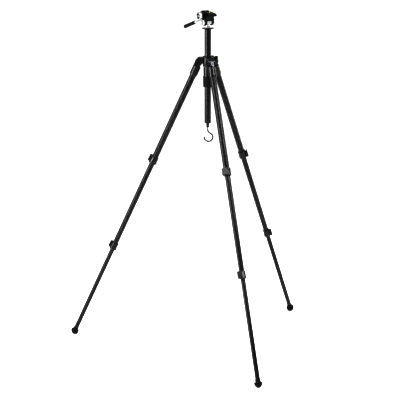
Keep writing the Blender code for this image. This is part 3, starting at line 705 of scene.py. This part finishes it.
def add_clamp_knob():
    """Silver clamp knob with a knurled rim, a dark inset and a lighter centre."""
    low, high = span("clamp_knob", CLAMP_KNOB)
    radius = 0.0165
    inner = high.z - 0.0129
    turned_for("clamp_knob", [
        (0.0, low.z), (0.0030, low.z), (0.0030, inner), (0.0150, inner), (radius, inner + 0.0017, "flute"),
        (radius, high.z - 0.0017, "flute"), (0.0150, high.z), (0.0124, high.z), (0.0122, high.z - 0.0022),
        (0.0, high.z - 0.0022),
    ], CLAMP_KNOB, radius=0.0005, segments=240, flutes=48, depth=0.0005)
    low, high = span("clamp_knob_inset", CLAMP_KNOB)
    turned_for("clamp_knob_inset", [
        (0.0, low.z), (0.0119, low.z), (0.0119, high.z - 0.0002), (0.0112, high.z), (0.0074, high.z),
        (0.0070, high.z - 0.0005), (0.0058, high.z - 0.0005), (0.0054, high.z - 0.0001),
        (0.0, high.z - 0.0001),
    ], CLAMP_KNOB, radius=0.0002, segments=72)
    place = CLAMP_KNOB @ Matrix.Translation((0.0, 0.0, high.z - 0.0001))
    turned("clamp_knob_centre", rounded([(0.0, -0.0002), (0.0046, -0.0002), (0.0046, 0.0001),
                                         (0.0040, 0.0004), (0.0, 0.0005)], 0.0002), place, "satin_silver",
           "jaw_knob", "satin_silver", segments=48)


def add_camera_screw():
    """Quarter-inch camera screw: a round head under the plate and a thread that stands out of it."""
    low, high = span("camera_screw", CAMERA_SCREW)
    head = 0.0080
    major = 0.0031
    minor = 0.0027
    pitch = 0.00127
    neck = low.z + 0.0020
    outline = [(0.0, low.z), (head, low.z), (head, neck), (major, neck)]
    height = neck + 0.0016
    while height + pitch < high.z - 0.0008:
        outline += [(major, height), (minor, height + pitch / 2.0), (major, height + pitch * 0.92)]
        height += pitch
    outline += [(major, height), (major - 0.0007, high.z), (0.0, high.z)]
    turned_for("camera_screw", outline, CAMERA_SCREW, radius=0.0001, segments=48, angle=45.0)


def add_handle():
    low, high = span("handle_rod", HANDLE)
    rod = high.x
    turned_for("handle_rod", [(0.0, low.z), (rod, low.z), (rod, high.z), (0.0, high.z)], HANDLE, segments=48)
    add_lock_nut()
    add_ferrule()
    add_grip()


def add_lock_nut():
    low, high = span("handle_lock_nut", HANDLE)
    rim = 0.0054
    turned_for("handle_lock_nut", [
        (ROD_BORE, low.z), (rim - 0.0006, low.z), (rim, low.z + 0.0007, "flute"),
        (rim, high.z - 0.0007, "flute"), (rim - 0.0006, high.z), (ROD_BORE, high.z),
    ], HANDLE, radius=0.0002, closed=True, segments=96, flutes=16, depth=0.0004)


def add_ferrule():
    low, high = span("handle_ferrule", HANDLE)
    rim = high.x
    turned_for("handle_ferrule", [
        (ROD_BORE, low.z), (0.0036, low.z), (0.0046, low.z + 0.0036), (rim - 0.0002, low.z + 0.0056),
        (rim, low.z + 0.0066), (rim, low.z + 0.0084), (rim - 0.0006, low.z + 0.0088),
        (rim - 0.0006, low.z + 0.0096), (rim, low.z + 0.0100), (rim, high.z), (ROD_BORE, high.z),
    ], HANDLE, radius=0.0003, closed=True, segments=64)


def add_grip():
    """Handle grip: a plain collar, a long ribbed body and a domed end."""
    low, high = span("handle_grip", HANDLE)
    length = high.z - low.z
    outline = [(ROD_BORE, low.z), (0.0068, low.z), (0.0076, low.z + 0.0016), (0.0080, low.z + 0.0060),
               (0.0078, low.z + 0.0074)]
    ribs = 13
    start = low.z + 0.0090
    step = (length - 0.0270) / ribs
    for rib in range(ribs):
        foot = start + rib * step
        waist = 0.0005 * math.sin(math.pi * rib / (ribs - 1))
        crest = 0.0082 - waist
        outline += [(crest - 0.0007, foot), (crest, foot + step * 0.22), (crest, foot + step * 0.72),
                    (crest - 0.0007, foot + step * 0.92)]
    end = high.z
    outline += [(0.0079, end - 0.0160), (0.0083, end - 0.0140), (0.0083, end - 0.0070),
                (0.0078, end - 0.0030), (0.0060, end - 0.0008), (0.0, end), (0.0, low.z + 0.0300),
                (ROD_BORE, low.z + 0.0300)]
    turned_for("handle_grip", outline, HANDLE, radius=0.0005, closed=True, segments=64)


# ---------------------------------------------------------------- stage

def add_floor():
    bm = bmesh.new()
    bmesh.ops.create_circle(bm, cap_ends=True, segments=96, radius=FLOOR_RADIUS)
    mesh = bpy.data.meshes.new("floor")
    bm.to_mesh(mesh)
    bm.free()
    floor = bpy.data.objects.new("floor", mesh)
    bpy.context.scene.collection.objects.link(floor)
    floor.location.z = -FLOOR_DROP
    graph = Graph("floor_paper")
    tone = graph.ramp(graph.noise(3.0, 3.0), ((0.3, 0.94), (0.7, 0.96)))
    graph.link(tone, graph.shader.inputs["Base Color"])
    graph.shader.inputs["Roughness"].default_value = 0.9
    graph.shader.inputs["Specular IOR Level"].default_value = 0.1
    mesh.materials.append(graph.material)


def add_softbox(name, azimuth, distance, height, size, power, colour):
    """Rectangular area light that faces the tripod's middle."""
    light = bpy.data.lights.new(name, "AREA")
    light.shape = "RECTANGLE"
    light.size, light.size_y = size
    light.energy = power
    light.color = colour
    lamp = bpy.data.objects.new(name, light)
    bpy.context.scene.collection.objects.link(lamp)
    turn = math.radians(azimuth)
    lamp.location = (distance * math.cos(turn), PAN_POINT.y + distance * math.sin(turn), height)
    aim = Vector((0.0, PAN_POINT.y, SOFTBOX_TARGET_HEIGHT)) - lamp.location
    lamp.rotation_euler = aim.to_track_quat("-Z", "Y").to_euler()


def add_world():
    """White surroundings that are darker towards and below the horizon."""
    world = bpy.data.worlds.new("studio")
    bpy.context.scene.world = world
    world.use_nodes = True
    tree = world.node_tree
    background = tree.nodes["Background"]
    background.inputs["Strength"].default_value = WORLD_STRENGTH
    direction = tree.nodes.new("ShaderNodeTexCoord")
    axes = tree.nodes.new("ShaderNodeSeparateXYZ")
    overhead = tree.nodes.new("ShaderNodeValToRGB")
    for element, (position, grey) in zip(overhead.color_ramp.elements, WORLD_GREYS):
        element.position = position
        element.color = (grey, grey, grey, 1.0)
    tree.links.new(direction.outputs["Generated"], axes.inputs[0])
    tree.links.new(axes.outputs[2], overhead.inputs[0])
    tree.links.new(overhead.outputs[0], background.inputs["Color"])


def add_lights():
    add_world()
    for softbox in SOFTBOXES:
        add_softbox(*softbox)
    colours = bpy.context.scene.view_settings
    colours.view_transform = "Standard"
    colours.gamma = VIEW_GAMMA


def add_camera():
    camera = bpy.data.objects.new("camera", bpy.data.cameras.new("camera"))
    bpy.context.scene.collection.objects.link(camera)
    camera.data.lens = CAMERA_LENS
    camera.data.sensor_width = CAMERA_SENSOR
    camera.data.clip_start = CAMERA_CLIP_START
    camera.location = (CAMERA_DISTANCE * math.cos(CAMERA_AZIMUTH),
                       PAN_POINT.y + CAMERA_DISTANCE * math.sin(CAMERA_AZIMUTH), CAMERA_HEIGHT)
    facing = CAMERA_AZIMUTH + math.pi - CAMERA_YAW
    level = math.cos(CAMERA_DROP)
    view = Vector((math.cos(facing) * level, math.sin(facing) * level, -math.sin(CAMERA_DROP)))
    camera.rotation_euler = view.to_track_quat("-Z", "Y").to_euler()
    bpy.context.scene.camera = camera


MATERIALS = make_materials()
add_camera()
for leg_name in LEGS:
    add_leg(leg_name)
add_hub()
add_column()
add_head()
add_floor()
add_lights()
